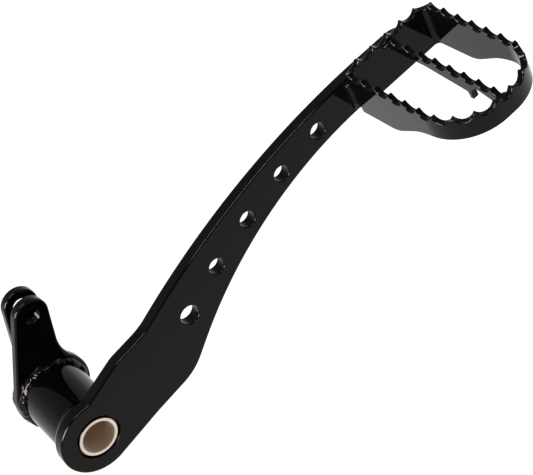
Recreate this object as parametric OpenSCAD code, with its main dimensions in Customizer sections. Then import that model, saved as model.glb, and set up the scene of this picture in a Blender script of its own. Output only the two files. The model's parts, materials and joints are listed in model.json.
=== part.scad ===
// Foot operated rear brake lever of a motorcycle: a flat plate arm with a round eye, a pivot tube
// behind the eye, two clevis plates on the tube and a serrated tread cage at the far end.
// X runs along the tread away from the pivot, Y runs inboard along the pivot axis, Z is up.
// The origin lies on the pivot axis in the outer face of the arm.

/* [Arm] */
// Thickness of the arm plate
arm_t = 6.35; // [4:0.05:10]
// Width of the round eye outside the pivot tube
arm_eye_wall = 2.6; // [1.6:0.1:8]
// End of the arm behind the tread, in from the far side of the tread
arm_end_in = 6.7; // [5.7:0.1:16.7]
// Upper edge of the arm under the tread
arm_top_z = 59.4; // [58:0.1:62]
// Lower edge of the arm under the tread
arm_low_z = 40.7; // [38:0.1:41]
// Rounding of the upper corner at the end of the arm
end_top_r = 15.5; // [4:0.5:15.5]
// Rounding of the lower corner at the end of the arm
end_low_r = 2.5; // [1.5:0.1:2.5]
// Slope of the upper edge where it leaves the eye
eye_slope = 19.6; // [12:0.1:24]
// Hollow between the eye and the upper edge
eye_blend_r = 6; // [2:0.5:20]
// Shoulder in the upper edge, along X
top_shoulder_x = 25.6; // [20:0.1:30]
// Shoulder in the upper edge, height
top_shoulder_z = 25.4; // [23:0.1:27]
// Radius of the shoulder in the upper edge
top_shoulder_r = 17; // [8:1:30]
// Waist after the upper shoulder, along X
top_waist_x = 43.3; // [40:0.1:50]
// Waist after the upper shoulder, height
top_waist_z = 27.3; // [26:0.1:32]
// Radius of the waist after the upper shoulder
top_waist_r = 30; // [10:1:50]
// Place along X where the two straight runs of the upper sweep would meet
top_sweep_x = 117.8; // [110:0.1:125]
// Radius of the long upper sweep
top_sweep_r = 365; // [200:1:400]
// Slack bend of the lower edge behind the eye, along X
heel_x = 27; // [22:0.5:32]
// Slack bend of the lower edge behind the eye, height
heel_z = -14; // [-16:0.1:-12]
// Radius of the slack bend
heel_r = 60; // [20:5:120]
// Shoulder in the lower edge, along X
low_shoulder_x = 52.1; // [46:0.1:58]
// Shoulder in the lower edge, height
low_shoulder_z = -10.8; // [-13:0.1:-8]
// Radius of the shoulder in the lower edge
low_shoulder_r = 26; // [12:1:32]
// Place along X where the two straight runs of the lower sweep would meet
low_sweep_x = 117.1; // [110:0.1:124]
// Radius of the long lower sweep
low_sweep_r = 190; // [100:1:200]

/* [Holes in the arm] */
// Radius of the four outer lightening holes
hole_r = 3.97; // [2.5:0.01:5.5]
// Radius of the hole nearest the pivot
hole_near_r = 4.76; // [2.5:0.01:6]
// Chamfer on the rim of each hole
hole_chamfer = 0.5; // [0.1:0.05:1]

/* [Pivot] */
// Radius of the pivot tube
tube_r = 15.875; // [14:0.005:16.5]
// Length of the pivot tube behind the arm, up to the inner clevis plate
tube_len = 45.65; // [44:0.05:60]
// Outer radius of the bushings, which is the bore of the tube
bush_out_r = 9.525; // [8.9:0.005:11]
// Bore radius of the bushings
bush_in_r = 7.94; // [6:0.01:8.4]
// Length of each bushing
bush_len = 19.05; // [10:0.05:25]
// Chamfer on the arm round the bushing
bore_chamfer = 1.35; // [0.2:0.05:2]
// Chamfer on the open end of the tube
tube_chamfer = 0.8; // [0.2:0.1:1]

/* [Clevis] */
// Thickness of each clevis plate
clevis_t = 4.5; // [3:0.1:5]
// Front face of the outer clevis plate, from the outer face of the arm
clevis_y = 42; // [30:0.1:42]
// Distance from the pivot axis to the clevis pin axis
clevis_reach = 44; // [38:0.1:60]
// Direction of the clevis pin from the pivot, above the X axis
clevis_angle = 71.7; // [60:0.1:95]
// Radius of the plates round the pin hole
clevis_eye_r = 8.5; // [6.5:0.1:10]
// Width of the outer plate outside the tube on its straight flank
clevis_wall = 2.4; // [2.1:0.1:6]
// Shift of the outer plate's round part towards its hollow flank
clevis_shift = 0.6; // [0:0.1:1.5]
// Hollow between the straight flank and the round part of the outer plate
clevis_blend_r = 20; // [8:0.5:20]
// Hollow between the flanks and the round part of the inner plate
inner_blend_r = 12; // [6:0.5:20]
// Radius of the tapped hole in the outer plate
pin_tap_r = 3.3; // [2:0.05:4.5]
// Radius of the clear hole in the inner plate
pin_clear_r = 4.05; // [2.5:0.05:5]
// Chamfer on the rims of the pin holes
pin_chamfer = 0.6; // [0.2:0.1:1]

/* [Tread cage] */
// Near side of the tread, from the pivot axis
tread_x = 180; // [170:0.5:195]
// Overall width of the tread along X
tread_w = 51.7; // [48:0.1:70]
// Thickness of the tread strip
strip_t = 3; // [2:0.1:4.5]
// Lower edge of the strip on the arm
strip_low_z = 41.5; // [38:0.1:46]
// Tips of the teeth
tip_z = 65.3; // [63:0.1:70]
// Lower edge of the strip where the nose begins
nose_low_z = 52.7; // [50:0.1:55]
// Further rise of the lower edge over the nose
nose_rise = 1.1; // [0:0.1:3]
// Length of the straight sides, out from the arm
side_len = 55.1; // [50:0.1:80]
// Outer radius of the bends at the nose
nose_r = 23.5; // [18:0.1:24]
// Inner radius of the bends at the arm
corner_r = 2.2; // [1:0.1:4]
// Start of the rise in the lower edge, from the arm to the sharp bend point
rise_from = 28.2; // [22:0.1:34]
// End of the rise in the lower edge, from the arm to the sharp bend point
rise_to = 50.3; // [46:0.1:54]
// Radius where the rise starts
rise_from_r = 20; // [5:1:30]
// Radius where the rise ends
rise_to_r = 45; // [20:1:50]

/* [Teeth] */
// Radius of the round cut between two teeth
cut_r = 4.76; // [4.6:0.01:6]
// Depth of the cuts below the tips
cut_depth = 2.8; // [1.5:0.1:2.9]
// Pitch of the teeth on the two sides
side_pitch = 9.02; // [8.8:0.01:11]
// Pitch aimed at round the nose
nose_pitch = 9.4; // [8.8:0.05:12]
// Pitch of the teeth on the back row
back_pitch = 8.96; // [8.8:0.01:11]
// Pitch of the teeth on the centre bar
bar_pitch = 9.06; // [8.8:0.01:11]
// First tooth on each side, out from the arm
side_first = 5.15; // [4:0.05:8]
// First tooth on the centre bar, out from the arm
bar_first = 7.2; // [5:0.05:10]
// Offset of the back row from the middle of the tread
back_shift = 1.2; // [-2:0.1:2]

/* [Centre bar] */
// Thickness of the centre bar
bar_t = 3; // [2:0.1:4]
// Lower edge of the bar at the arm
bar_root_z = 59.3; // [56:0.1:60]
// Lower edge of the bar before the lip
bar_end_z = 56.3; // [54:0.1:59]
// Level run of the lower edge, out from the arm
bar_level = 28; // [15:0.5:45]
// End of the deep part of the bar, where the neck begins, out from the arm
neck_out = 56.3; // [50:0.1:60]
// Lower edge of the neck at its start, as a sharp corner
neck_z = 62.4; // [61:0.1:63]
// Lower edge of the neck at the nose
neck_end_z = 56.8; // [55:0.1:60]
// Rounding in the corner where the neck begins
neck_r = 4.5; // [2:0.1:6]
// Depth of the lip before the neck
lip_drop = 3.4; // [1:0.1:4]
// Thickness of the lip before the neck
lip_t = 1.5; // [0.8:0.1:3]

/* [Welds] */
// Leg of the weld round the tube, along the tube
ring_weld = 3; // [1.5:0.1:4]
// Reach of the weld of the tube and the arm, past the tube
arm_weld_reach = 1.5; // [0.8:0.1:1.5]
// Reach of the weld of the tube and the outer clevis plate, past the tube
clevis_weld_reach = 2; // [1:0.1:2]
// Leg of the weld of the inner clevis plate on the end of the tube
inner_weld = 1.8; // [1:0.1:1.8]
// Distance from the upper edge of the arm down to the near tread weld
weld_short = 1; // [0.5:0.1:4]
// Reach of the tread weld along the arm, before the tread
tread_weld = 1.8; // [1:0.1:4]
// Reach of the tread weld out along the strip
tread_weld_out = 3; // [1.5:0.1:5]
// Reach of the tread weld at the end of the arm
far_weld = 1.4; // [0.8:0.1:1.5]
// Leg of the small welds of the centre bar
bar_weld = 2.4; // [1:0.1:3]

/* [Fineness] */
// Largest gap between a round outline and its straight steps
chord_gap = 0.05; // [0.02:0.01:0.2]

/* [Hidden] */
$fn = 72;
eps = 0.01;
margin = 1;
gloss_black = "#1b1a1a";
bead_black = "#3a3838";
sintered = "#9a948c";

// Centres of the lightening holes as [x, z, radius], on the middle of the tapering arm
holes = [[158.3, 47.5, hole_r], [133.8, 43, hole_r], [109.75, 36.5, hole_r],
         [86.6, 28, hole_r], [64.4, 17.3, hole_near_r]];

tube_end = arm_t + tube_len;
pin = clevis_reach * [cos(clevis_angle), sin(clevis_angle)];
arm_eye_r = tube_r + arm_eye_wall;
clevis_lobe_r = tube_r + clevis_wall + clevis_shift;
inner_lobe_r = tube_r - tube_chamfer - inner_weld;

valley_z = tip_z - cut_depth;
cut_z = valley_z + cut_r;
tread_mid = tread_x + tread_w / 2;
far_x = tread_x + tread_w;
arm_end_x = far_x - arm_end_in;
end_corner_r = min(end_top_r, arm_top_z - arm_low_z - end_low_r);
corner_out_r = corner_r + strip_t;
nose_out_r = min(nose_r, (tread_w - bar_t) / 2);
nose_mid_r = nose_out_r - strip_t / 2;
nose_in_r = nose_out_r - strip_t;
nose_flat = tread_w - 2 * nose_out_r;
strip_h = tip_z - strip_low_z;
nose_in = side_len + nose_in_r;

// Length of the strip's middle line from the first tooth on one side to the first on the other
quarter = nose_mid_r * PI / 2;
rim_len = 2 * (side_len - side_first + quarter) + nose_flat;
side_gaps = round((side_len - side_first) / side_pitch);
nose_gaps = round((rim_len - 2 * side_gaps * side_pitch) / nose_pitch);
nose_step = (rim_len - 2 * side_gaps * side_pitch) / nose_gaps;
back_teeth = round((tread_w - 2 * corner_out_r) / back_pitch);
back_first = tread_mid + back_shift - (back_teeth - 1) / 2 * back_pitch;
bar_gaps = floor((nose_in - bar_first) / bar_pitch) + 1;

// Unit vector along v
function unit(v) = v / norm(v);

// Number of steps for an arc, from its radius and its turn
function arc_steps(r, turn) = max(2, ceil(abs(turn) / (2 * acos(1 - min(chord_gap, r / 4) / r))));

// Points of an arc about a centre
function arc(centre, r, from, to) =
    let (steps = arc_steps(r, to - from))
    [for (i = [0:steps]) let (a = from + (to - from) * i / steps) centre + r * [cos(a), sin(a)]];

// Arc that rounds corner b of the path a, b, c, which runs with the solid on its left
function corner(a, b, c, r) =
    let (u = unit(b - a), v = unit(c - b), turn = atan2(u.x * v.y - u.y * v.x, u * v),
         side = sign(turn), start = b - r * tan(abs(turn) / 2) * u,
         centre = start + side * r * [-u.y, u.x], from = atan2(start.y - centre.y, start.x - centre.x))
    arc(centre, r, from, from + turn);

// Angle at which the straight line from point p touches the eye, on its lower side
function touch_angle(p, r) = atan2(p.y, p.x) - acos(r / norm(p));

// Outline of the arm, against the clock
function arm_outline() =
    let (slope = [cos(eye_slope), sin(eye_slope)], across = [-slope.y, slope.x],
         top_shoulder = [top_shoulder_x, top_shoulder_z],
         lift = across * top_shoulder,
         along = sqrt(pow(arm_eye_r + eye_blend_r, 2) - pow(lift + eye_blend_r, 2)),
         blend = along * slope + (lift + eye_blend_r) * across,
         blend_a = atan2(blend.y, blend.x),
         heel = [heel_x, heel_z],
         low_a = touch_angle(heel, arm_eye_r),
         low_touch = arm_eye_r * [cos(low_a), sin(low_a)],
         low_shoulder = [low_shoulder_x, low_shoulder_z],
         low_sweep = [low_sweep_x, arm_low_z],
         low_end = [arm_end_x, arm_low_z],
         top_end = [arm_end_x, arm_top_z],
         top_sweep = [top_sweep_x, arm_top_z],
         top_waist = [top_waist_x, top_waist_z])
    concat(
        arc([0, 0], arm_eye_r, blend_a, low_a + 360),
        corner(low_touch, heel, low_shoulder, heel_r),
        corner(heel, low_shoulder, low_sweep, low_shoulder_r),
        corner(low_shoulder, low_sweep, low_end, low_sweep_r),
        corner(low_sweep, low_end, top_end, end_low_r),
        corner(low_end, top_end, top_sweep, end_corner_r),
        corner(top_end, top_sweep, top_waist, top_sweep_r),
        corner(top_sweep, top_waist, top_shoulder, top_waist_r),
        corner(top_waist, top_shoulder, top_shoulder - 2 * slope, top_shoulder_r),
        arc(blend, eye_blend_r, 270 + eye_slope, 180 + blend_a));

// Angle, off the line to the pin, at which the round part of a clevis plate meets its hollow
function blend_angle(lobe_r, blend_r, shift) =
    asin((clevis_eye_r + blend_r - shift) / (lobe_r + blend_r));

// Outline of the outer clevis plate with the pin along X, against the clock: one flank runs
// straight from the eye to the round part, and the other has a hollow before the round part
function tapered_outline(lobe_r, blend_r, shift) =
    let (blend_a = blend_angle(lobe_r, blend_r, shift), lobe = [0, -shift],
         taper_a = atan2(shift, clevis_reach) + acos((lobe_r - clevis_eye_r) / norm([clevis_reach, shift])))
    concat(
        arc([clevis_reach, 0], clevis_eye_r, -90, taper_a),
        arc(lobe, lobe_r, taper_a, 360 - blend_a),
        arc(lobe + (lobe_r + blend_r) * [cos(blend_a), -sin(blend_a)], blend_r, 180 - blend_a, 90));

// Outline of the inner clevis plate, which has a hollow on both flanks
function even_outline(lobe_r, blend_r) =
    let (blend_a = blend_angle(lobe_r, blend_r, 0),
         blend = (lobe_r + blend_r) * [cos(blend_a), sin(blend_a)])
    concat(
        arc([clevis_reach, 0], clevis_eye_r, -90, 90),
        arc(blend, blend_r, 270, 180 + blend_a),
        arc([0, 0], lobe_r, blend_a, 360 - blend_a),
        arc([blend.x, -blend.y], blend_r, 180 - blend_a, 90));

// Plate of thickness t between two faces at right angles to Y
module plate(outline, t) {
    translate([0, t, 0]) rotate([90, 0, 0]) linear_extrude(t) polygon(outline);
}

// Cylinder along Y from y to y + len
module along_y(y, len, r, r2) {
    translate([0, y, 0]) rotate([-90, 0, 0]) cylinder(h = len, r1 = r, r2 = is_undef(r2) ? r : r2);
}

// Drilled hole through a plate from y to y + t, with a chamfer on both rims
module drilled(y, t, r, chamfer) {
    along_y(y - margin, t + 2 * margin, r);
    along_y(y - eps, chamfer + eps, r + chamfer + eps, r);
    along_y(y + t - chamfer, chamfer + eps, r, r + chamfer + eps);
}

// Ring about the Y axis, drawn as [radius, y]
module ring_about_y(profile) {
    rotate([-90, 0, 0]) rotate_extrude() polygon(profile);
}

// Part of such a ring, from an angle above the X axis over a turn
module arc_about_y(from, turn, profile) {
    rotate([90, 0, 0]) rotate([0, 0, from]) rotate_extrude(angle = turn)
        polygon([for (p = profile) [p.x, -p.y]]);
}

// Weld bead round the tube on a face at y, its toe on the tube ring_weld away towards dir
module tube_weld(y, dir, reach) {
    swell = 0.62;
    ring_about_y([[tube_r, y], [tube_r + reach, y], [tube_r + reach * swell, y + dir * ring_weld * swell],
                  [tube_r, y + dir * ring_weld]]);
}

module arm_plate() color(gloss_black) difference() {
    plate(arm_outline(), arm_t);
    along_y(-margin, arm_t + 2 * margin, bush_out_r);
    along_y(-eps, bore_chamfer + eps, bush_out_r + bore_chamfer + eps, bush_out_r);
    for (h = holes) translate([h.x, 0, h.y]) drilled(0, arm_t, h.z, hole_chamfer);
}

module pivot_tube() color(gloss_black) ring_about_y([
    [bush_out_r, arm_t], [tube_r, arm_t], [tube_r, tube_end - tube_chamfer],
    [tube_r - tube_chamfer, tube_end], [bush_out_r, tube_end]]);

module bushing(y) {
    ring_about_y([[bush_in_r, y], [bush_out_r, y], [bush_out_r, y + bush_len], [bush_in_r, y + bush_len]]);
}

module bushing_outer() color(sintered) bushing(0);

module bushing_inner() color(sintered) bushing(tube_end - bush_len);

module clevis_plate(y, outline, bore, hole) {
    difference() {
        translate([0, y, 0]) rotate([0, -clevis_angle, 0]) plate(outline, clevis_t);
        along_y(y - margin, clevis_t + 2 * margin, bore);
        translate([pin.x, 0, pin.y]) drilled(y, clevis_t, hole, pin_chamfer);
    }
}

module clevis_plate_outer() color(gloss_black)
    clevis_plate(clevis_y, tapered_outline(clevis_lobe_r, clevis_blend_r, clevis_shift), tube_r, pin_tap_r);

module clevis_plate_inner() color(gloss_black)
    clevis_plate(tube_end, even_outline(inner_lobe_r, inner_blend_r), bush_out_r, pin_clear_r);

// Middle line of the strip on the near half, as [across from the middle, out from the arm,
// direction of the outer face], at the distance s from the first tooth
function near_rim(s) =
    let (straight = side_len - side_first, bend = (s - straight) / nose_mid_r * 180 / PI)
    s <= straight ? [-(tread_w - strip_t) / 2, side_first + s, 180]
    : s <= straight + quarter ?
        [-nose_flat / 2 - nose_mid_r * cos(bend), side_len + nose_mid_r * sin(bend), 180 - bend]
    : [s - straight - quarter - nose_flat / 2, side_len + nose_mid_r, 90];

// The same all the way round to the first tooth on the far side
function rim(s) = s <= rim_len / 2 ? near_rim(s)
    : let (p = near_rim(rim_len - s)) [-p.x, p.y, 180 - p.z];

// Round cut across the strip at place p of its middle line, reaching past both of its faces
module tooth_cut(p, past) {
    translate([tread_mid + p.x, -p.y, cut_z]) rotate([0, 0, -p.z]) rotate([0, 90, 0])
        cylinder(h = strip_t + 2 * past, r = cut_r, center = true);
}

// Cut at the bend by the arm, halfway between the first side tooth and the nearest back tooth
module corner_cut(side) {
    half_w = (tread_w - strip_t) / 2;
    mid_r = corner_r + strip_t / 2;
    back_x = half_w - abs((side < 0 ? back_first : back_first + (back_teeth - 1) * back_pitch) - tread_mid);
    run = side_first - corner_out_r + mid_r * PI / 2 + back_x - mid_r;
    bend = min(90, max(0, (run / 2 - side_first + corner_out_r) / mid_r * 180 / PI));
    tooth_cut([side * (half_w - mid_r + mid_r * cos(bend)), corner_out_r - mid_r * sin(bend),
               side < 0 ? 180 + bend : -bend], margin / 2);
}

// Lower edge of the strip from the arm to the nose, as seen from the side
function rise_outline() =
    let (out = side_len + nose_out_r + margin, from = [-margin, strip_low_z],
         low = [rise_from, strip_low_z], high = [rise_to, nose_low_z], to = [out, nose_low_z + nose_rise])
    concat([[-margin, strip_low_z - margin], from],
           corner(from, low, high, rise_from_r), corner(low, high, to, rise_to_r),
           [to, [out, strip_low_z - margin]]);

// Straight stretch of the strip, from corner a to corner b of its plan
module strip_run(a, b) {
    translate([a.x, a.y, strip_low_z]) cube([b.x - a.x, b.y - a.y, strip_h]);
}

// Quarter bend of the strip about a centre, starting at angle from
module strip_bend(centre, inner_r, from) {
    translate([centre.x, centre.y, strip_low_z]) rotate([0, 0, from])
        rotate_extrude(angle = 90) translate([inner_r, 0]) square([strip_t, strip_h]);
}

module tread_ring() color(gloss_black) difference() {
    nose_x = [tread_x + nose_out_r, far_x - nose_out_r];
    union() {
        strip_run([tread_x, -side_len], [tread_x + strip_t, -corner_out_r]);
        strip_run([far_x - strip_t, -side_len], [far_x, -corner_out_r]);
        strip_run([tread_x + corner_out_r, -strip_t], [far_x - corner_out_r, 0]);
        strip_run([nose_x[0], -side_len - nose_out_r], [nose_x[1], -side_len - nose_in_r]);
        strip_bend([tread_x + corner_out_r, -corner_out_r], corner_r, 90);
        strip_bend([far_x - corner_out_r, -corner_out_r], corner_r, 0);
        strip_bend([nose_x[0], -side_len], nose_in_r, 180);
        strip_bend([nose_x[1], -side_len], nose_in_r, 270);
    }
    translate([tread_x - margin, 0, 0]) rotate([90, 0, 90])
        mirror([1, 0, 0]) linear_extrude(tread_w + 2 * margin) polygon(rise_outline());
    for (i = [0:side_gaps - 1]) {
        tooth_cut(rim((i + 0.5) * side_pitch), margin);
        tooth_cut(rim(rim_len - (i + 0.5) * side_pitch), margin);
    }
    for (i = [0:nose_gaps - 1]) tooth_cut(rim(side_gaps * side_pitch + (i + 0.5) * nose_step), margin);
    for (i = [0:back_teeth - 2])
        tooth_cut([back_first + (i + 0.5) * back_pitch - tread_mid, strip_t / 2, 90], margin);
    corner_cut(-1);
    corner_cut(1);
}

// Side view of the centre bar as [out from the arm, height]
function bar_outline() =
    let (neck = [neck_out, neck_z], lip_z = bar_end_z - lip_drop)
    concat([[strip_t, tip_z], [strip_t, bar_root_z], [bar_level, bar_root_z],
            [neck_out - lip_t - lip_t / 2, bar_end_z], [neck_out - lip_t, lip_z], [neck_out, lip_z]],
           corner([neck_out, lip_z], neck, [nose_in, neck_end_z], neck_r),
           [[nose_in, neck_end_z], [nose_in, tip_z]]);

module tread_center_bar() color(gloss_black) translate([tread_mid - bar_t / 2, 0, 0]) difference() {
    rotate([90, 0, 90]) mirror([1, 0, 0]) linear_extrude(bar_t) polygon(bar_outline());
    for (i = [-1:bar_gaps - 1]) translate([-margin, -bar_first - (i + 0.5) * bar_pitch, cut_z])
        rotate([0, 90, 0]) cylinder(h = bar_t + 2 * margin, r = cut_r);
}

module weld_tube_arm() color(bead_black) tube_weld(arm_t, 1, arm_weld_reach);

module weld_clevis_outer() color(bead_black) {
    tube_weld(clevis_y, -1, clevis_weld_reach);
    tube_weld(clevis_y + clevis_t, 1, clevis_weld_reach);
}

// Bead on the end of the tube round the free part of the inner clevis plate
module weld_clevis_inner() color(bead_black) {
    from = blend_angle(inner_lobe_r, inner_blend_r, 0);
    arc_about_y(clevis_angle + from, 360 - 2 * from, [
        [inner_lobe_r, tube_end], [inner_lobe_r, tube_end + inner_weld],
        [inner_lobe_r + inner_weld, tube_end]]);
}

// Bead in the wedge between the outer face of the arm and the near bend of the strip
module weld_tread_near() color(bead_black)
    translate([tread_x, 0, strip_low_z + margin]) linear_extrude(arm_top_z - weld_short - strip_low_z - margin)
        difference() {
            polygon([[-tread_weld, 0], [corner_out_r / 2, 0], [corner_out_r / 2, -tread_weld_out],
                     [corner_out_r - sqrt(pow(corner_out_r, 2) - pow(corner_out_r - tread_weld_out, 2)),
                      -tread_weld_out]]);
            translate([corner_out_r, -corner_out_r]) circle(r = corner_out_r);
        }

// Bead between the rounded end of the arm and the back face of the strip
module weld_tread_far() color(bead_black) {
    turn = 70;
    translate([arm_end_x - end_corner_r, 0, arm_top_z - end_corner_r]) arc_about_y(0, turn, [
        [end_corner_r, 0], [end_corner_r, far_weld], [end_corner_r + far_weld, 0]]);
}

// Section of a small bead in the corner of one flank of the centre bar and a wall at y facing dir
module bar_bead(side, y, dir) {
    translate([side * bar_t / 2, y]) polygon([[0, 0], [side * bar_weld, 0], [0, dir * bar_weld]]);
}

module weld_bar_root() color(bead_black) translate([tread_mid, 0, bar_root_z])
    linear_extrude(valley_z - bar_root_z) for (side = [-1, 1]) bar_bead(side, -strip_t, -1);

// Beads at the nose, kept inside the bends where they reach past its flat stretch
module weld_bar_nose() color(bead_black) translate([tread_mid, 0, neck_end_z])
    linear_extrude(valley_z - neck_end_z) for (side = [-1, 1]) intersection() {
        bar_bead(side, -nose_in, 1);
        union() {
            translate([-nose_flat / 2, -nose_in]) square([nose_flat, nose_in_r]);
            translate([side * nose_flat / 2, -side_len]) circle(r = nose_in_r);
        }
    }

arm_plate();
pivot_tube();
bushing_outer();
bushing_inner();
clevis_plate_outer();
clevis_plate_inner();
tread_ring();
tread_center_bar();
weld_tube_arm();
weld_clevis_outer();
weld_clevis_inner();
weld_tread_near();
weld_tread_far();
weld_bar_root();
weld_bar_nose();
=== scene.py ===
"""Foot operated rear brake lever of a motorcycle, dressed for its picture.

X runs along the tread away from the pivot, Y runs inboard along the pivot axis and Z is up.
The origin lies on the pivot axis in the outer face of the arm.
"""

import json
from math import acos, asin, atan2, ceil, cos, floor, pi, radians, sin, sqrt, tan

import bmesh
import bpy
from bpy.props import FloatProperty, FloatVectorProperty, PointerProperty, StringProperty
from mathutils import Euler, Matrix, Vector, noise


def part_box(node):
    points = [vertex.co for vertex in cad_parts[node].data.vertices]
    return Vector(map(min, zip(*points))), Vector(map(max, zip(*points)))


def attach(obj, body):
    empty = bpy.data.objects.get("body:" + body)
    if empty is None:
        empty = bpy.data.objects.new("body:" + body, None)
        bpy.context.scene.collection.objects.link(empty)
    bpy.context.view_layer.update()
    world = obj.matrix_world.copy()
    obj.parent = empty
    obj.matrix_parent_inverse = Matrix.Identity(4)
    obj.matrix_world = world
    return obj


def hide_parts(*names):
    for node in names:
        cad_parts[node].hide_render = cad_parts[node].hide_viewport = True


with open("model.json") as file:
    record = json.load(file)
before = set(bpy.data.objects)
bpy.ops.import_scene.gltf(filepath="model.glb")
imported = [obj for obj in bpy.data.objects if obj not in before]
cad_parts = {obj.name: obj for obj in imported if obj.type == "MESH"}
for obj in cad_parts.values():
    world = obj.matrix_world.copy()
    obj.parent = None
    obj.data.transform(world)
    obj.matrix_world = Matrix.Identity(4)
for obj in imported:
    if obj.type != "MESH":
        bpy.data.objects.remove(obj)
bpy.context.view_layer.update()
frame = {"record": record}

bl_info = {
    "name": "Foot brake lever",
    "version": (1, 0, 0),
    "blender": (4, 5, 0),
    "location": "3D View > Sidebar > Lever",
    "description": "Builds a drilled foot brake lever with its pivot, clevis and serrated tread",
    "category": "Object",
}

MM = 0.001
BODY = "root"

# Fineness of the meshes: how far a chord may lie off its arc, how far a support point lies from an
# arc, how near two points are one, and the angle from which an edge is drawn sharp
CHORD_GAP = 0.002 * MM
SUPPORT = 0.06 * MM
MERGE = 0.0005 * MM
SAME_POINT = 10 * MERGE
SHARP = radians(38)

# Steps round a lathed ring, over a rounded edge, along the tread, along a bead and across it
LATHE_STEPS = 192
EDGE_STEPS = 5
STATION = 0.13 * MM
BEAD_STATION = 0.12 * MM
BEAD_STEPS = 14

# Rows in one turn of the thread, and columns round its hole
THREAD_ROWS = 14
THREAD_COLUMNS = 96

# The frame's own sizes
ARM_LOW, ARM_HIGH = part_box("arm_plate")
TUBE_LOW, TUBE_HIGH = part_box("pivot_tube")
BUSH_LOW, BUSH_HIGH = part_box("bushing_outer")
INNER_BUSH_LOW, INNER_BUSH_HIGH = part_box("bushing_inner")
OUTER_LOW, OUTER_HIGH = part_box("clevis_plate_outer")
INNER_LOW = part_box("clevis_plate_inner")[0]
RING_LOW, RING_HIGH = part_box("tread_ring")
MOUNTS = {mount["name"]: mount for mount in frame["record"]["mounts"]}
PIN = Vector(MOUNTS["clevis_pin_outer"]["pos_m"])
PIVOT = Vector((0, 0))

# Rounding of the arm's upper end, and how far the weld of the tread runs round it
ARM_END_R = 15.5 * MM
FAR_WELD_TURN = radians(70)

# Heights and places in the tread, read off the real one
TIP_Z = RING_HIGH.z
STRIP_LOW_Z = RING_LOW.z
NOSE_LOW_Z = 52.7 * MM
NOSE_RISE = 1.1 * MM
NOSE_OUT = -RING_LOW.y
FIRST_TOOTH = 5.15 * MM
BACK_ROW_SHIFT = 1.2 * MM
BAR_FIRST_TOOTH = 7.2 * MM
BAR_ROOT_Z = 59.3 * MM
BAR_NECK_END_Z = 56.8 * MM

# How far the root of a weld bead lies inside the pieces that it joins
SUNK = 0.2 * MM

# Each bead's legs, the length and height of its ripples, the size of its lumps and its seed
TUBE_BEAD = {"legs": (1.5 * MM, 3 * MM), "ripple": (1.6 * MM, 0.04), "lumps": 0.05, "seed": 0.1}
CLEVIS_BEAD = {"legs": (2.1 * MM, 3.6 * MM), "ripple": (7 * MM, 0.04), "lumps": 0.42, "seed": 0.2}
SLOT_BEAD = {"legs": (2 * MM, 3 * MM), "ripple": (3.2 * MM, 0.04), "lumps": 0.35, "seed": 0.3}
TUBE_END_BEAD = {"ripple": (2.4 * MM, 0.12), "lumps": 0.15, "seed": 0.4}
NEAR_BEAD = {"legs": (2.3 * MM, 3 * MM), "ripple": (2 * MM, 0.04), "lumps": 0.12, "seed": 0.5}
FAR_BEAD = {"legs": (1.4 * MM, 1.4 * MM), "ripple": (1.8 * MM, 0.12), "lumps": 0.1, "seed": 0.6}
BAR_BEAD = {"legs": (2.2 * MM, 2.2 * MM), "ripple": (1.8 * MM, 0.06), "lumps": 0.3}

# Middle of the lever in metres, which the soft boxes face, and the width of the camera's sensor
LEVER_MIDDLE = Vector((0.1, -0.02, 0.02))
SENSOR_WIDTH = 36


class ArmSettings(bpy.types.PropertyGroup):
    """Sizes of the flat arm."""
    eye_r: FloatProperty(
        name="Eye", description="Radius of the round eye", default=-ARM_LOW.x, unit="LENGTH")
    edge_r: FloatProperty(
        name="Edge", description="Rounding along the edges", default=1 * MM, unit="LENGTH")
    rim_r: FloatProperty(
        name="Rims", description="Rounding on the rims of the holes", default=0.55 * MM,
        unit="LENGTH")
    groove_w: FloatProperty(
        name="Groove", description="Width of the groove round the bushing", default=1.35 * MM,
        unit="LENGTH")
    groove_depth: FloatProperty(
        name="Groove depth", description="Depth of the groove round the bushing",
        default=1.5 * MM, unit="LENGTH")
    hole_r: FloatProperty(
        name="Holes", description="Radius of the four outer holes", default=3.97 * MM,
        unit="LENGTH")
    hole_near_r: FloatProperty(
        name="Near hole", description="Radius of the hole nearest the pivot", default=4.76 * MM,
        unit="LENGTH")


class PivotSettings(bpy.types.PropertyGroup):
    """Sizes of the pivot tube and its bushings."""
    tube_r: FloatProperty(
        name="Tube", description="Radius of the tube", default=TUBE_HIGH.x, unit="LENGTH")
    bush_out_r: FloatProperty(
        name="Bushing", description="Outer radius of the bushings", default=BUSH_HIGH.x,
        unit="LENGTH")
    bush_in_r: FloatProperty(
        name="Bore", description="Bore radius of the bushings",
        default=MOUNTS["pivot_bore"]["dims"]["r_mm"] * MM, unit="LENGTH")
    tube_chamfer: FloatProperty(
        name="Tube chamfer", description="Chamfer on the open end of the tube", default=0.8 * MM,
        unit="LENGTH")
    bush_edge: FloatProperty(
        name="Bushing edge", description="Rounding on the rims of the bushings",
        default=0.25 * MM, unit="LENGTH")


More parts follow.
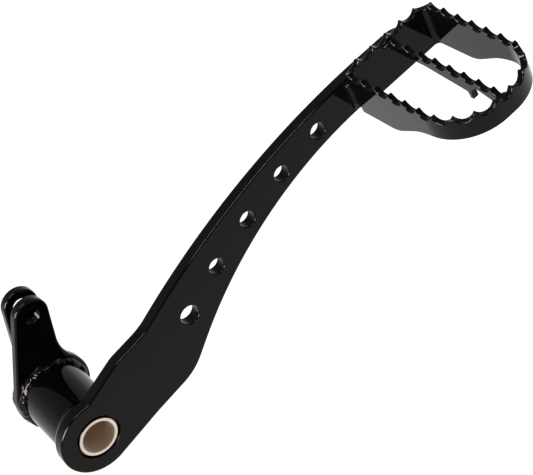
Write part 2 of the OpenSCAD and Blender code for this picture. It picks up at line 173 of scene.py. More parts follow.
class ClevisSettings(bpy.types.PropertyGroup):
    """Sizes of the two clevis plates."""
    eye_r: FloatProperty(
        name="Eye", description="Radius of the plates round the pin", default=8.5 * MM,
        unit="LENGTH")
    wall: FloatProperty(
        name="Wall", description="Width of the outer plate outside the tube", default=2.39 * MM,
        unit="LENGTH")
    shift: FloatProperty(
        name="Shift", description="Shift of the outer plate's round part to its hollow flank",
        default=0.6 * MM, unit="LENGTH")
    blend_r: FloatProperty(
        name="Hollow", description="Hollow in the flank of the outer plate", default=20 * MM,
        unit="LENGTH")
    inner_blend_r: FloatProperty(
        name="Inner hollow", description="Hollows in the flanks of the inner plate",
        default=12 * MM, unit="LENGTH")
    inner_weld: FloatProperty(
        name="Inner weld", description="Leg of the weld on the end of the tube", default=1.8 * MM,
        unit="LENGTH")
    edge_r: FloatProperty(
        name="Edge", description="Rounding along the edges", default=0.9 * MM, unit="LENGTH")
    thread_pitch: FloatProperty(
        name="Thread pitch", description="Pitch of the tapped hole", default=1.05 * MM,
        unit="LENGTH")
    thread_depth: FloatProperty(
        name="Thread depth", description="Depth of the tapped hole's thread", default=0.45 * MM,
        unit="LENGTH")


class TreadSettings(bpy.types.PropertyGroup):
    """Sizes of the serrated tread cage."""
    strip_t: FloatProperty(
        name="Strip", description="Thickness of the strip", default=3 * MM, unit="LENGTH")
    nose_r: FloatProperty(
        name="Nose", description="Outer radius of the bends at the nose", default=23.5 * MM,
        unit="LENGTH")
    corner_r: FloatProperty(
        name="Corners", description="Inner radius of the bends at the arm", default=2.2 * MM,
        unit="LENGTH")
    cut_r: FloatProperty(
        name="Cutter", description="Radius of the round cut between two teeth", default=4.76 * MM,
        unit="LENGTH")
    cut_depth: FloatProperty(
        name="Depth", description="Depth of the cuts below the tips", default=2.8 * MM,
        unit="LENGTH")
    side_pitch: FloatProperty(
        name="Side pitch", description="Pitch of the teeth on the sides", default=9.02 * MM,
        unit="LENGTH")
    nose_pitch: FloatProperty(
        name="Nose pitch", description="Pitch aimed at round the nose", default=9.4 * MM,
        unit="LENGTH")
    back_pitch: FloatProperty(
        name="Back pitch", description="Pitch of the teeth on the back row", default=8.96 * MM,
        unit="LENGTH")
    bar_pitch: FloatProperty(
        name="Bar pitch", description="Pitch of the teeth on the centre bar", default=9.06 * MM,
        unit="LENGTH")
    top_edge: FloatProperty(
        name="Tooth edge", description="Rounding along the toothed edge", default=0.65 * MM,
        unit="LENGTH")
    tip_r: FloatProperty(
        name="Tips", description="Rounding on the tips of the teeth", default=0.5 * MM,
        unit="LENGTH")
    low_edge: FloatProperty(
        name="Lower edge", description="Rounding along the lower edge", default=0.5 * MM,
        unit="LENGTH")


class FinishSettings(bpy.types.PropertyGroup):
    """Colours of the finishes."""
    coat: StringProperty(
        name="Coat", description="Powder coat, as an sRGB hex value", default="#010101")
    coat_thick: StringProperty(
        name="Thick coat", description="Powder coat where it lies thicker", default="#030202")
    coat_sheen: StringProperty(
        name="Coat tint", description="Tint of the coat's reflections", default="#fff1ed")
    bronze: StringProperty(
        name="Bronze", description="Sintered bronze between its pores", default="#eae1d6")
    bronze_pore: StringProperty(
        name="Pores", description="Sintered bronze in its pores", default="#b5a591")
    bronze_bore_shade: StringProperty(
        # Painted shade: a darker bronze for the bore, which stands in for the shade inside it
        name="Bore shade", description="Sintered bronze, painted darker in the bore for its shade",
        default="#dcc6af")


class StudioSettings(bpy.types.PropertyGroup):
    """Camera and light."""
    place: FloatVectorProperty(
        name="Camera", description="Place of the camera", subtype="TRANSLATION", unit="LENGTH",
        default=(-25.02 * MM, -466.16 * MM, 462.59 * MM))
    turn: FloatVectorProperty(
        name="Turn", description="Rotation of the camera", subtype="EULER",
        default=(radians(43.3136), radians(22.4657), radians(-38.5337)))
    lens: FloatProperty(
        name="Lens", description="Focal length on a 36 mm wide sensor", default=99.58,
        unit="CAMERA")
    floor_drop: FloatProperty(
        name="Floor", description="Distance of the floor below the lever", default=90 * MM,
        unit="LENGTH")


class LeverSettings(bpy.types.PropertyGroup):
    """All settings of the lever."""
    arm: PointerProperty(type=ArmSettings, name="Arm", description="Sizes of the arm")
    pivot: PointerProperty(type=PivotSettings, name="Pivot", description="Sizes of the pivot")
    clevis: PointerProperty(type=ClevisSettings, name="Clevis", description="Sizes of the clevis")
    tread: PointerProperty(type=TreadSettings, name="Tread", description="Sizes of the tread")
    finish: PointerProperty(
        type=FinishSettings, name="Finish", description="Colours of the finishes")
    studio: PointerProperty(type=StudioSettings, name="Studio", description="Camera and light")


def settings():
    """The settings of the lever in the open scene."""
    return bpy.context.scene.lever_settings


# Outlines in a plane


def ray(angle):
    """Unit vector at an angle."""
    return Vector((cos(angle), sin(angle)))


def arc(centre, radius, start, end, side=1, longest=None):
    """Points of an arc as (point, outward normal); side is 1 on a round corner, -1 in a hollow."""
    gap = min(CHORD_GAP, radius / 4)
    steps = max(3, ceil(abs(end - start) / (2 * acos(1 - gap / radius))))
    if longest:
        steps = max(steps, ceil(abs(end - start) * radius / longest))
    angles = [start + (end - start) * i / steps for i in range(steps + 1)]
    return [(centre + radius * ray(angle), side * ray(angle)) for angle in angles]


def corner(a, b, c, radius, longest=None):
    """Arc that rounds corner b of the path a, b, c, which runs with the solid on its left."""
    into = (b - a).normalized()
    out = (c - b).normalized()
    turn = atan2(into.x * out.y - into.y * out.x, into.dot(out))
    side = 1 if turn > 0 else -1
    start = b - radius * tan(abs(turn) / 2) * into
    centre = start + side * radius * Vector((-into.y, into.x))
    spoke = start - centre
    angle = atan2(spoke.y, spoke.x)
    return arc(centre, radius, angle, angle + turn, side, longest)


def millimetres(x, y):
    """Point in a plane, given in millimetres."""
    return Vector((x, y)) * MM


def arm_outline(eye_r):
    """Outline of the arm in X and Z, against the clock, as (point, outward normal)."""
    eye_slope = radians(19.6)
    eye_blend_r = 6 * MM
    heel_r, low_shoulder_r, low_sweep_r, low_end_r = 60 * MM, 26 * MM, 190 * MM, 2.5 * MM
    top_sweep_r, top_waist_r, top_shoulder_r = 365 * MM, 30 * MM, 17 * MM
    slope = ray(eye_slope)
    across = Vector((-slope.y, slope.x))
    top_shoulder = millimetres(25.6, 25.4)
    top_slope = top_shoulder - 2 * MM * slope
    top_waist = millimetres(43.3, 27.3)
    top_sweep = Vector((117.8 * MM, ARM_HIGH.z))
    top_end = Vector((ARM_HIGH.x, ARM_HIGH.z))
    low_z = 40.7 * MM
    low_end = Vector((ARM_HIGH.x, low_z))
    low_sweep = Vector((117.1 * MM, low_z))
    low_shoulder = millimetres(52.1, -10.8)
    heel = millimetres(27, -14)
    lift = across.dot(top_shoulder)
    along = sqrt((eye_r + eye_blend_r) ** 2 - (lift + eye_blend_r) ** 2)
    blend = along * slope + (lift + eye_blend_r) * across
    blend_a = atan2(blend.y, blend.x)
    low_a = atan2(heel.y, heel.x) - acos(eye_r / heel.length)
    low_touch = eye_r * ray(low_a)
    return (arc(PIVOT, eye_r, blend_a, low_a + 2 * pi)
            + corner(low_touch, heel, low_shoulder, heel_r)
            + corner(heel, low_shoulder, low_sweep, low_shoulder_r)
            + corner(low_shoulder, low_sweep, low_end, low_sweep_r)
            + corner(low_sweep, low_end, top_end, low_end_r)
            + corner(low_end, top_end, top_sweep, ARM_END_R)
            + corner(top_end, top_sweep, top_waist, top_sweep_r)
            + corner(top_sweep, top_waist, top_shoulder, top_waist_r)
            + corner(top_waist, top_shoulder, top_slope, top_shoulder_r)
            + arc(blend, eye_blend_r, 1.5 * pi + eye_slope, pi + blend_a, -1))


def arm_holes(arm):
    """Centres and radii of the five holes, down the middle of the tapering arm."""
    centres = [(158.3, 47.5), (133.8, 43), (109.75, 36.5), (86.6, 28)]
    near_centre = (64.4, 17.3)
    holes = [(millimetres(*centre), arm.hole_r) for centre in centres]
    return holes + [(millimetres(*near_centre), arm.hole_near_r)]


def towards_pin(points):
    """Outline drawn with the pin along X, turned to where the pin is."""
    turn = Matrix.Rotation(atan2(PIN.z, PIN.x), 2)
    return [(turn @ point, turn @ normal) for point, normal in points]


def blend_angle(eye_r, lobe_r, blend_r, shift=0):
    """Angle, off the line to the pin, at which a plate's round part meets its hollow."""
    return asin((eye_r + blend_r - shift) / (lobe_r + blend_r))


def tapered_outline(eye_r, lobe_r, blend_r, shift):
    """Outline of the outer clevis plate, with one straight and one hollow flank."""
    reach = Vector((PIN.x, PIN.z)).length
    blend_a = blend_angle(eye_r, lobe_r, blend_r, shift)
    lobe = Vector((0, -shift))
    taper_a = atan2(shift, reach) + acos((lobe_r - eye_r) / Vector((reach, shift)).length)
    blend = lobe + (lobe_r + blend_r) * ray(-blend_a)
    return towards_pin(arc(Vector((reach, 0)), eye_r, -pi / 2, taper_a)
                       + arc(lobe, lobe_r, taper_a, 2 * pi - blend_a)
                       + arc(blend, blend_r, pi - blend_a, pi / 2, -1))


def even_outline(eye_r, lobe_r, blend_r):
    """Outline of the inner clevis plate, with a hollow on both flanks."""
    reach = Vector((PIN.x, PIN.z)).length
    blend_a = blend_angle(eye_r, lobe_r, blend_r)
    blend = (lobe_r + blend_r) * ray(blend_a)
    return towards_pin(arc(Vector((reach, 0)), eye_r, -pi / 2, pi / 2)
                       + arc(blend, blend_r, 1.5 * pi, pi + blend_a, -1)
                       + arc(PIVOT, lobe_r, blend_a, 2 * pi - blend_a)
                       + arc(Vector((blend.x, -blend.y)), blend_r, pi - blend_a, pi / 2, -1))


def round_hole(centre, radius):
    """Outline of a round hole, whose outward side is its middle."""
    return arc(centre, radius, 0, 2 * pi, -1)


def distinct(outline):
    """The outline without points that lie on the one before."""
    kept = []
    for point, normal in outline:
        if not kept or (point - kept[-1][0]).length > SAME_POINT:
            kept.append((point, normal))
    if (kept[0][0] - kept[-1][0]).length <= SAME_POINT:
        kept.pop()
    return kept


def rounded(corners, radius):
    """Closed outline through corners, rounded, with a support point beside each arc."""
    outline = []
    for i, point in enumerate(corners):
        before = corners[i - 1]
        after = corners[(i + 1) % len(corners)]
        bend = [p for p, _ in corner(before, point, after, radius)]
        outline.append(bend[0] + SUPPORT * (before - point).normalized())
        outline += bend
        outline.append(bend[-1] + SUPPORT * (after - point).normalized())
    return outline


# Meshes


def quarter_steps():
    """Angles over a quarter turn, from 0 up."""
    return [pi / 2 * i / EDGE_STEPS for i in range(EDGE_STEPS + 1)]


def edge_profile(thickness, radius):
    """Section of a plate's rounded edge from its front face to its back, as (inset, depth)."""
    front = [(radius * (1 - sin(a)), radius * (1 - cos(a))) for a in quarter_steps()]
    back = [(inset, thickness - depth) for inset, depth in reversed(front)]
    return ([(radius + SUPPORT, 0)] + front
            + [(0, radius + SUPPORT), (0, thickness - radius - SUPPORT)]
            + back + [(radius + SUPPORT, thickness)])


def zigzag(phase):
    """Wave that falls from 1 to 0 and rises to 1 again over each whole step of its phase."""
    return abs(2 * (phase - floor(phase)) - 1)


def skin(bm, rings):
    """Faces between closed rings of vertices that have as many vertices each."""
    for near, far in zip(rings, rings[1:]):
        for i in range(len(near)):
            bm.faces.new((near[i - 1], near[i], far[i], far[i - 1]))


def skin_along(bm, rings, closed):
    """Skin over a row of rings that meets itself, or gets a face on each end."""
    if closed:
        skin(bm, rings + rings[:1])
    else:
        skin(bm, rings)
        bm.faces.new(rings[0])
        bm.faces.new(rings[-1])


def wall(bm, outline, profile, y):
    """Wall round an outline in X and Z, and its rings on the front face and the back face."""
    outline = distinct(outline)
    rings = [[bm.verts.new((p.x - inset * n.x, y + depth, p.y - inset * n.y)) for p, n in outline]
             for inset, depth in profile]
    skin(bm, rings)
    return rings[0], rings[-1]


def cap(bm, loops):
    """Flat face inside the first loop and outside the others."""
    edges = [bm.edges.get((loop[i - 1], loop[i])) for loop in loops for i in range(len(loop))]
    bmesh.ops.triangle_fill(bm, use_beauty=True, use_dissolve=False, edges=edges)


def plate_faces(bm, rings):
    """Both faces of a plate, from its walls' rings; the first wall is the outer one."""
    cap(bm, [front for front, _ in rings])
    cap(bm, [back for _, back in rings])


def plate(bm, y, walls):
    """Plate from its walls, each an outline and its edge profile; the first is the outer one."""
    plate_faces(bm, [wall(bm, outline, profile, y) for outline, profile in walls])


def lathe(bm, section):
    """Ring about the Y axis from a closed section in radius and Y."""
    rings = []
    for i in range(LATHE_STEPS):
        spoke = ray(2 * pi * i / LATHE_STEPS)
        rings.append([bm.verts.new((p.x * spoke.x, p.y, p.x * spoke.y)) for p in section])
    skin(bm, rings + rings[:1])


def lit_pieces():
    """Collection of the pieces that the soft boxes light, which keeps their glare off the floor."""
    group = bpy.data.collections.get("glossy_pieces")
    if group is None:
        group = bpy.data.collections.new("glossy_pieces")
        bpy.context.scene.collection.children.link(group)
    return group


def finish_piece(bm, name, slot, material, *nodes):
    """Turns a mesh into a piece that stands for its nodes and moves with the lever."""
    bmesh.ops.remove_doubles(bm, verts=bm.verts, dist=MERGE)
    bmesh.ops.recalc_face_normals(bm, faces=bm.faces)
    for face in bm.faces:
        face.smooth = True
    for edge in bm.edges:
        edge.smooth = len(edge.link_faces) == 2 and edge.calc_face_angle() < SHARP
    mesh = bpy.data.meshes.new(name)
    bm.to_mesh(mesh)
    bm.free()
    mesh.materials.append(material)
    piece = bpy.data.objects.new(name, mesh)
    home = lit_pieces() if slot == "powder_coat" else bpy.context.scene.collection
    home.objects.link(piece)
    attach(piece, BODY)
    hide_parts(*nodes)


def coated_piece(bm, name, node):
    """The same for a powder coated piece."""
    finish_piece(bm, name, "powder_coat", powder_coat(), node)


# Materials


def linear(hex_colour):
    """Linear RGBA of an sRGB hex value."""
    channels = [int(hex_colour[i:i + 2], 16) / 255 for i in (1, 3, 5)]
    return [c / 12.92 if c <= 0.04045 else ((c + 0.055) / 1.055) ** 2.4
            for c in channels] + [1]


def add(tree, kind, values=None, links=None, **properties):
    """Adds a node with its properties, socket values and links into its sockets."""
    node = tree.nodes.new(kind)
    for name, value in properties.items():
        setattr(node, name, value)
    for name, value in (values or {}).items():
        node.inputs[name].default_value = value
    for name, socket in (links or {}).items():
        tree.links.new(socket, node.inputs[name])
    return node


def new_material(name):
    """An empty material, its node tree and its object coordinates in metres."""
    old = bpy.data.materials.get(name)
    if old:
        return old, None, None
    material = bpy.data.materials.new(name)
    material.use_nodes = True
    material.node_tree.nodes.clear()
    place = add(material.node_tree, "ShaderNodeTexCoord").outputs["Object"]
    return material, material.node_tree, place


def noise_at(tree, place, wavelength, detail):
    """Noise with a real wavelength in metres."""
    return add(tree, "ShaderNodeTexNoise", {"Scale": 1 / wavelength, "Detail": detail},
               {"Vector": place})


def powder_coat():
    """Gloss black powder coat, sprayed on steel and baked."""
    # Baking melts the powder to a glassy skin, so the eye sees a deep black that mirrors its
    # surroundings. A faint orange peel bends the reflections, and thick places are a softer black.
    material, tree, place = new_material("powder_coat_gloss_baked")
    if tree is None:
        return material
    finish = settings().finish
    # The peel of such a coat has waves of about 2.5 mm, and its thickness wanders over centimetres
    peel_wave, peel_depth, drift_wave = 2.5 * MM, 0.004 * MM, 14 * MM
    glossiest, dullest = 0.03, 0.07
    # A clear coat starts at 1.5, and the photographed one mirrors less
    coat_ior = 1.23
    peel = noise_at(tree, place, peel_wave, 1)
    drift = noise_at(tree, place, drift_wave, 3)
    colour = add(tree, "ShaderNodeMix",
                 {"A": linear(finish.coat), "B": linear(finish.coat_thick)}, None,
                 data_type="RGBA")
    tree.links.new(drift.outputs["Fac"], colour.inputs["Factor"])
    gloss = add(tree, "ShaderNodeMapRange", {"To Min": glossiest, "To Max": dullest},
                {"Value": drift.outputs["Fac"]})
    bump = add(tree, "ShaderNodeBump", {"Strength": 0.25, "Distance": peel_depth},
               {"Height": peel.outputs["Fac"]})
    shader = add(tree, "ShaderNodeBsdfPrincipled",
                 {"IOR": coat_ior, "Metallic": 0, "Specular Tint": linear(finish.coat_sheen)},
                 {"Base Color": colour.outputs["Result"], "Roughness": gloss.outputs["Result"],
                  "Normal": bump.outputs["Normal"]})
    add(tree, "ShaderNodeOutputMaterial", None, {"Surface": shader.outputs["BSDF"]})
    return material


def sintered_bronze():
    """Sintered bronze, pressed from powder and sized."""
    # The open pores scatter the light, so the eye sees a pale dull metal with fine specks
    material, tree, place = new_material("bronze_sintered_sized")
    if tree is None:
        return material
    finish = settings().finish
    # Real pores are about 0.05 mm, drawn at 0.35 mm so that they show
    pore_size, pore_depth, stain_size = 0.35 * MM, 0.03 * MM, 6 * MM
    pores = add(tree, "ShaderNodeTexVoronoi", {"Scale": 1 / pore_size}, {"Vector": place})
    stain = noise_at(tree, place, stain_size, 4)
    speck = add(tree, "ShaderNodeMapRange", {"From Min": 0.1, "From Max": 0.45},
                {"Value": pores.outputs["Distance"]})
    cover = add(tree, "ShaderNodeMath", None, None, operation="MULTIPLY_ADD")
    tree.links.new(speck.outputs["Result"], cover.inputs[0])
    cover.inputs[1].default_value = 0.4
    tree.links.new(stain.outputs["Fac"], cover.inputs[2])
    colour = add(tree, "ShaderNodeMix",
                 {"A": linear(finish.bronze_pore), "B": linear(finish.bronze)}, None,
                 data_type="RGBA")
    tree.links.new(cover.outputs["Value"], colour.inputs["Factor"])
    # Painted shade: the bore, which lies nearest the pivot axis, is coloured darker for the shade
    # inside it
    flat = add(tree, "ShaderNodeVectorMath", {1: (1, 0, 1)}, {0: place}, operation="MULTIPLY")
    out = add(tree, "ShaderNodeVectorMath", None, {0: flat.outputs["Vector"]}, operation="LENGTH")
    bore_r = settings().pivot.bush_in_r
    shade_full_r, shade_end_r = bore_r + 0.1 * MM, bore_r + 0.3 * MM
    shade_fade = add(tree, "ShaderNodeMapRange", {"From Min": shade_full_r, "From Max": shade_end_r},
              {"Value": out.outputs["Value"]})
    bore_shaded = add(tree, "ShaderNodeMix", {"A": linear(finish.bronze_bore_shade)},
                {"Factor": shade_fade.outputs["Result"], "B": colour.outputs["Result"]}, data_type="RGBA")
    bump = add(tree, "ShaderNodeBump", {"Strength": 0.35, "Distance": pore_depth},
               {"Height": speck.outputs["Result"]})
    shader = add(tree, "ShaderNodeBsdfPrincipled", {"Metallic": 0.35, "Roughness": 0.45},
                 {"Base Color": bore_shaded.outputs["Result"], "Normal": bump.outputs["Normal"]})
    add(tree, "ShaderNodeOutputMaterial", None, {"Surface": shader.outputs["BSDF"]})
    return material


# Pieces


class LEVER_OT_arm(bpy.types.Operator):
    """Build the flat arm with its five holes, its bore and its rounded edges"""
    bl_idname = "lever.arm"
    bl_label = "Arm"

    def execute(self, context):
        arm = settings().arm
        thick = ARM_HIGH.y
        bm = bmesh.new()
        edge = edge_profile(thick, arm.edge_r)
        rim = edge_profile(thick, arm.rim_r)
        # The groove has a rounded outer rim, and coat closes it against the bushing
        soft, lip = 0.2 * MM, 0.15 * MM
        rim_steps = [(arm.groove_w + soft * (1 - sin(a)), soft * (1 - cos(a)))
                     for a in quarter_steps()]
        bore = [(arm.groove_w + soft + SUPPORT, 0), *rim_steps,
                (arm.groove_w, arm.groove_depth - soft), (arm.groove_w - soft, arm.groove_depth),
                (lip + soft, arm.groove_depth), (lip, arm.groove_depth - soft), (lip, 2 * lip),
                (0, lip), (0, thick)]
        walls = [(arm_outline(arm.eye_r), edge), (round_hole(PIVOT, BUSH_HIGH.x), bore)]
        walls += [(round_hole(centre, radius), rim) for centre, radius in arm_holes(arm)]
        plate(bm, 0, walls)
        coated_piece(bm, "lever_arm", "arm_plate")
        return {"FINISHED"}


class LEVER_OT_tube(bpy.types.Operator):
    """Build the pivot tube"""
    bl_idname = "lever.tube"
    bl_label = "Pivot tube"

    def execute(self, context):
        pivot = settings().pivot
        end = TUBE_HIGH.y
        edge_r = 0.15 * MM
        bm = bmesh.new()
        section = [Vector((pivot.bush_out_r, TUBE_LOW.y)), Vector((pivot.tube_r, TUBE_LOW.y)),
                   Vector((pivot.tube_r, end - pivot.tube_chamfer)),
                   Vector((pivot.tube_r - pivot.tube_chamfer, end)),
                   Vector((pivot.bush_out_r, end))]
        lathe(bm, rounded(section, edge_r))
        coated_piece(bm, "lever_pivot_tube", "pivot_tube")
        return {"FINISHED"}


class LEVER_OT_bushings(bpy.types.Operator):
    """Build the two plain bushings in the ends of the tube"""
    bl_idname = "lever.bushings"
    bl_label = "Bushings"

    def execute(self, context):
        pivot = settings().pivot
        for name, node, low, high in (
                ("lever_bushing_outer", "bushing_outer", BUSH_LOW, BUSH_HIGH),
                ("lever_bushing_inner", "bushing_inner", INNER_BUSH_LOW, INNER_BUSH_HIGH)):
            bm = bmesh.new()
            section = [Vector((pivot.bush_in_r, low.y)), Vector((pivot.bush_out_r, low.y)),
                       Vector((pivot.bush_out_r, high.y)), Vector((pivot.bush_in_r, high.y))]
            lathe(bm, rounded(section, pivot.bush_edge))
            finish_piece(bm, name, "sintered_bronze", sintered_bronze(), node)
        return {"FINISHED"}


def threaded_wall(bm, centre, radius, y, thick, clevis):
    """Wall of a tapped hole with a helical thread, and its rings on both faces."""
    # Flanks steeper than a plain zigzag leave a flat at the thread's root
    steepness = 1.25
    rows = ceil(thick / clevis.thread_pitch * THREAD_ROWS)
    rings = []
    for j in range(rows + 1):
        depth = thick * j / rows
        countersink = radius + clevis.thread_depth - min(depth, thick - depth)
        ring = []
        for i in range(THREAD_COLUMNS):
            phase = depth / clevis.thread_pitch - i / THREAD_COLUMNS
            r = max(countersink, radius + clevis.thread_depth * min(1, steepness * zigzag(phase)))
            spoke = ray(2 * pi * i / THREAD_COLUMNS)
            ring.append(bm.verts.new((centre.x + r * spoke.x, y + depth, centre.y + r * spoke.y)))
        rings.append(ring)
    skin(bm, rings)
    return rings[0], rings[-1]


def inner_lobe_r(pivot, clevis):
    """Radius of the inner plate's round part, which leaves room for a weld on the tube's end."""
    return pivot.tube_r - pivot.tube_chamfer - clevis.inner_weld


class LEVER_OT_clevis(bpy.types.Operator):
    """Build the two clevis plates, the outer one tapped and the inner one drilled clear"""
    bl_idname = "lever.clevis"
    bl_label = "Clevis plates"

    def execute(self, context):
        clevis = settings().clevis
        pivot = settings().pivot
        pin = Vector((PIN.x, PIN.z))
        outer_pin_r, inner_pin_r = (MOUNTS[name]["dims"]["r_mm"] * MM
                                    for name in ("clevis_pin_outer", "clevis_pin_inner"))
        thick = OUTER_HIGH.y - OUTER_LOW.y
        pin_rim_r, bore_rim_r = 0.5 * MM, 0.3 * MM
        edge = edge_profile(thick, clevis.edge_r)
        square = [(0, 0), (0, thick)]
        bm = bmesh.new()
        outline = tapered_outline(clevis.eye_r, pivot.tube_r + clevis.wall + clevis.shift,
                                  clevis.blend_r, clevis.shift)
        plate_faces(bm, [wall(bm, outline, edge, OUTER_LOW.y),
                         wall(bm, round_hole(PIVOT, pivot.tube_r), square, OUTER_LOW.y),
                         threaded_wall(bm, pin, outer_pin_r, OUTER_LOW.y, thick, clevis)])
        coated_piece(bm, "lever_clevis_outer", "clevis_plate_outer")
        bm = bmesh.new()
        outline = even_outline(clevis.eye_r, inner_lobe_r(pivot, clevis), clevis.inner_blend_r)
        plate(bm, INNER_LOW.y, [
            (outline, edge),
            (round_hole(PIVOT, pivot.bush_out_r), edge_profile(thick, bore_rim_r)),
            (round_hole(pin, inner_pin_r), edge_profile(thick, pin_rim_r))])
        coated_piece(bm, "lever_clevis_inner", "clevis_plate_inner")
        return {"FINISHED"}


# Tread


def refined(outline):
    """The outline with its long straight runs cut into short steps."""
    outline = distinct(outline)
    points = []
    for i, (point, normal) in enumerate(outline):
        before, before_normal = outline[i - 1]
        steps = ceil((point - before).length / STATION)
        for j in range(1, steps + 1):
            share = j / steps
            points.append((before.lerp(point, share),
                           before_normal.lerp(normal, share).normalized()))
    return points


def lower_edge(side_len, nose_r):
    """Lower edge of the strip, as points of distance out from the arm and height."""
    low_r, high_r = 20 * MM, 45 * MM
    beyond = 1 * MM
    start = Vector((-beyond, STRIP_LOW_Z))
    low = Vector((28.2 * MM, STRIP_LOW_Z))
    high = Vector((50.3 * MM, NOSE_LOW_Z))
    end = Vector((side_len + nose_r + beyond, NOSE_LOW_Z + NOSE_RISE))
    line = [start] + [p for p, _ in corner(start, low, high, low_r)]
    return line + [p for p, _ in corner(low, high, end, high_r)] + [end]


def height_on(line, x):
    """Height of a line of points that runs to the right, at x."""
    for a, b in zip(line, line[1:]):
        if x <= b.x and b.x > a.x:
            return a.y + (b.y - a.y) * max(0, x - a.x) / (b.x - a.x)
    return line[-1].y


class Tread:
    """Plan of the tread: its middle line, its cuts and its heights."""

    def __init__(self, sizes):
        self.sizes = sizes
        self.left = RING_LOW.x
        self.width = RING_HIGH.x - RING_LOW.x
        self.middle = (RING_LOW.x + RING_HIGH.x) / 2
        self.half = (self.width - sizes.strip_t) / 2
        self.side_len = NOSE_OUT - sizes.nose_r
        self.nose_mid_r = sizes.nose_r - sizes.strip_t / 2
        self.nose_flat = self.width - 2 * sizes.nose_r
        self.nose_in = NOSE_OUT - sizes.strip_t
        self.cut_z = TIP_Z - sizes.cut_depth + sizes.cut_r
        self.tip_at = sizes.side_pitch / 2
        reach = sizes.cut_r + sizes.tip_r
        self.tip_z = self.cut_z - sqrt(reach * reach - self.tip_at * self.tip_at)
        self.tip_from = self.tip_at * sizes.cut_r / reach
        self.low_line = lower_edge(self.side_len, sizes.nose_r)

    def middle_line(self):
        """Middle line of the strip as (point, outward normal), against the clock from above."""
        half_t = self.sizes.strip_t / 2
        left, right = self.middle - self.half, self.middle + self.half
        back, nose = -half_t, -NOSE_OUT + half_t
        corners = [Vector(place) for place in ((left, back), (left, nose), (right, nose),
                                               (right, back))]
        corner_mid_r = self.sizes.corner_r + half_t
        radii = [corner_mid_r, self.nose_mid_r, self.nose_mid_r, corner_mid_r]
        line = []
        for i, radius in enumerate(radii):
            line += corner(corners[i - 1], corners[i], corners[(i + 1) % 4], radius, STATION)
        return refined(line)

    def near_rim(self, s):
        """Place and outward direction on the near half, at distance s from the first tooth."""
        straight = self.side_len - FIRST_TOOTH
        bend = (s - straight) / self.nose_mid_r
        if bend <= 0:
            return Vector((self.middle - self.half, -FIRST_TOOTH - s)), Vector((-1, 0))
        if bend <= pi / 2:
            direction = Vector((-cos(bend), -sin(bend)))
            centre = Vector((self.middle - self.nose_flat / 2, -self.side_len))
            return centre + self.nose_mid_r * direction, direction
        past = s - straight - self.nose_mid_r * pi / 2
        return (Vector((self.middle - self.nose_flat / 2 + past, -self.side_len - self.nose_mid_r)),
                Vector((0, -1)))

    def rim(self, s, length):
        """The same all the way round to the first tooth on the far side."""
        if s <= length / 2:
            return self.near_rim(s)
        place, direction = self.near_rim(length - s)
        return Vector((2 * self.middle - place.x, place.y)), Vector((-direction.x, direction.y))

    def cuts(self):
        """Centres and axis directions of the round cuts in the strip."""
        sizes = self.sizes
        straight = self.side_len - FIRST_TOOTH
        length = 2 * (straight + self.nose_mid_r * pi / 2) + self.nose_flat
        side_gaps = round(straight / sizes.side_pitch)
        nose_run = length - 2 * side_gaps * sizes.side_pitch
        nose_gaps = round(nose_run / sizes.nose_pitch)
        cuts = []
        for i in range(side_gaps):
            cuts.append(self.rim((i + 0.5) * sizes.side_pitch, length))
            cuts.append(self.rim(length - (i + 0.5) * sizes.side_pitch, length))
        for i in range(nose_gaps):
            s = side_gaps * sizes.side_pitch + (i + 0.5) * nose_run / nose_gaps
            cuts.append(self.rim(s, length))
        corner_out_r = sizes.corner_r + sizes.strip_t
        back_teeth = round((self.width - 2 * corner_out_r) / sizes.back_pitch)
        back_first = self.middle + BACK_ROW_SHIFT - (back_teeth - 1) / 2 * sizes.back_pitch
        for i in range(back_teeth - 1):
            cuts.append((Vector((back_first + (i + 0.5) * sizes.back_pitch, -sizes.strip_t / 2)),
                         Vector((0, 1))))
        back_last = back_first + (back_teeth - 1) * sizes.back_pitch
        for side, tooth in ((-1, back_first), (1, back_last)):
            cuts.append(self.corner_cut(side, abs(tooth - self.middle)))
        return cuts

    def corner_cut(self, side, tooth):
        """Cut at the bend by the arm, halfway between the side's first tooth and the back's."""
        mid_r = self.sizes.corner_r + self.sizes.strip_t / 2
        corner_out_r = self.sizes.corner_r + self.sizes.strip_t
        run = FIRST_TOOTH - corner_out_r + mid_r * pi / 2 + self.half - tooth - mid_r
        bend = min(pi / 2, max(0, (run / 2 - FIRST_TOOTH + corner_out_r) / mid_r))
        place = Vector((self.middle + side * (self.half - mid_r + mid_r * cos(bend)),
                        -corner_out_r + mid_r * sin(bend)))
        return place, Vector((side * cos(bend), sin(bend)))

    def crest(self, point, cuts):
        """Height of the toothed edge over a point of the plan."""
        cut_r, tip_r = self.sizes.cut_r, self.sizes.tip_r
        height = self.tip_z + tip_r
        for centre, axis in cuts:
            dx = point.x - centre.x
            dy = point.y - centre.y
            across = abs(dx * axis.y - dy * axis.x)
            if across < self.tip_at and abs(dx * axis.x + dy * axis.y) < self.sizes.strip_t:
                if across < self.tip_from:
                    height = min(height, self.cut_z - sqrt(cut_r * cut_r - across * across))
                else:
                    off_tip = self.tip_at - across
                    height = min(height, self.tip_z + sqrt(tip_r * tip_r - off_tip ** 2))
        return height


def strip_section(half_t, low_edge, top_edge):
    """Closed section of a toothed strip, as (across, whether on the toothed edge, inset)."""
    side = [(half_t - low_edge - SUPPORT, False, 0)]
    side += [(half_t - low_edge * (1 - sin(a)), False, low_edge * (1 - cos(a)))
             for a in quarter_steps()]
    side += [(half_t, False, low_edge + SUPPORT), (half_t, True, top_edge + SUPPORT)]
    side += [(half_t - top_edge * (1 - sin(a)), True, top_edge * (1 - cos(a)))
             for a in reversed(quarter_steps())]
    side += [(half_t - top_edge - SUPPORT, True, 0)]
    return side + [(-across, top, inset) for across, top, inset in reversed(side)]


